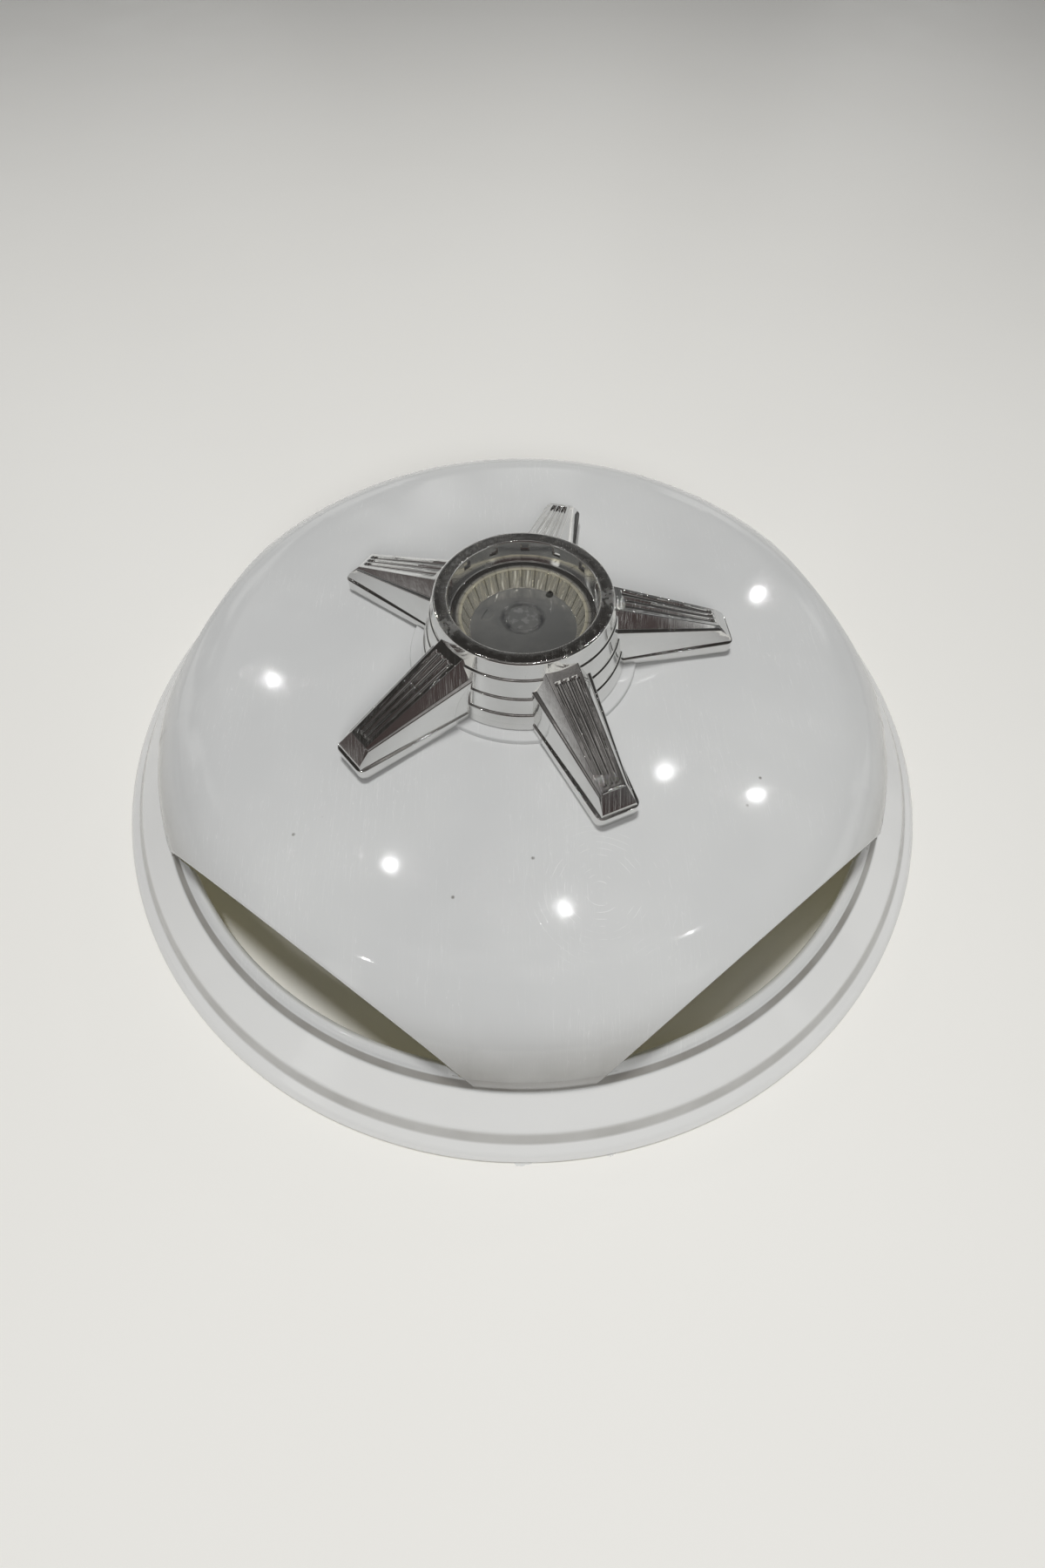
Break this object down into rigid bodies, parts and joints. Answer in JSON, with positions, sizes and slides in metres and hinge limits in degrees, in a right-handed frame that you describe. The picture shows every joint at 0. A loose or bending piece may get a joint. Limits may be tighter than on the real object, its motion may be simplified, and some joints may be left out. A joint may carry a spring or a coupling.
{
  "type": "wheel cover",
  "caption": "Deep white domed wheel cover with crescent vent slots in its shoulder and a plated star-shaped centre trim around an open emblem cup.",
  "frame": {"origin": "on the wheel axis, at the plane of the rim's back edge, on which the cover lies", "axes": "+Z along the wheel axis, outwards through the star; -Y through the land between two vent slots that faces the viewer"},
  "size_m": [0.378, 0.3788, 0.0919],
  "materials": {
    "white_plastic": "glossy moulded white plastic with fine swirl scratches",
    "plated_plastic": "bright plating, dulled inside the cup and scuffed on the top ring",
    "zinc_screw": "dull zinc-plated steel"
  },
  "bodies": {
    "root": {"wheel_cover": "white_plastic", "star_trim": "plated_plastic", "star_screws": "zinc_screw"}
  },
  "joints": []
}
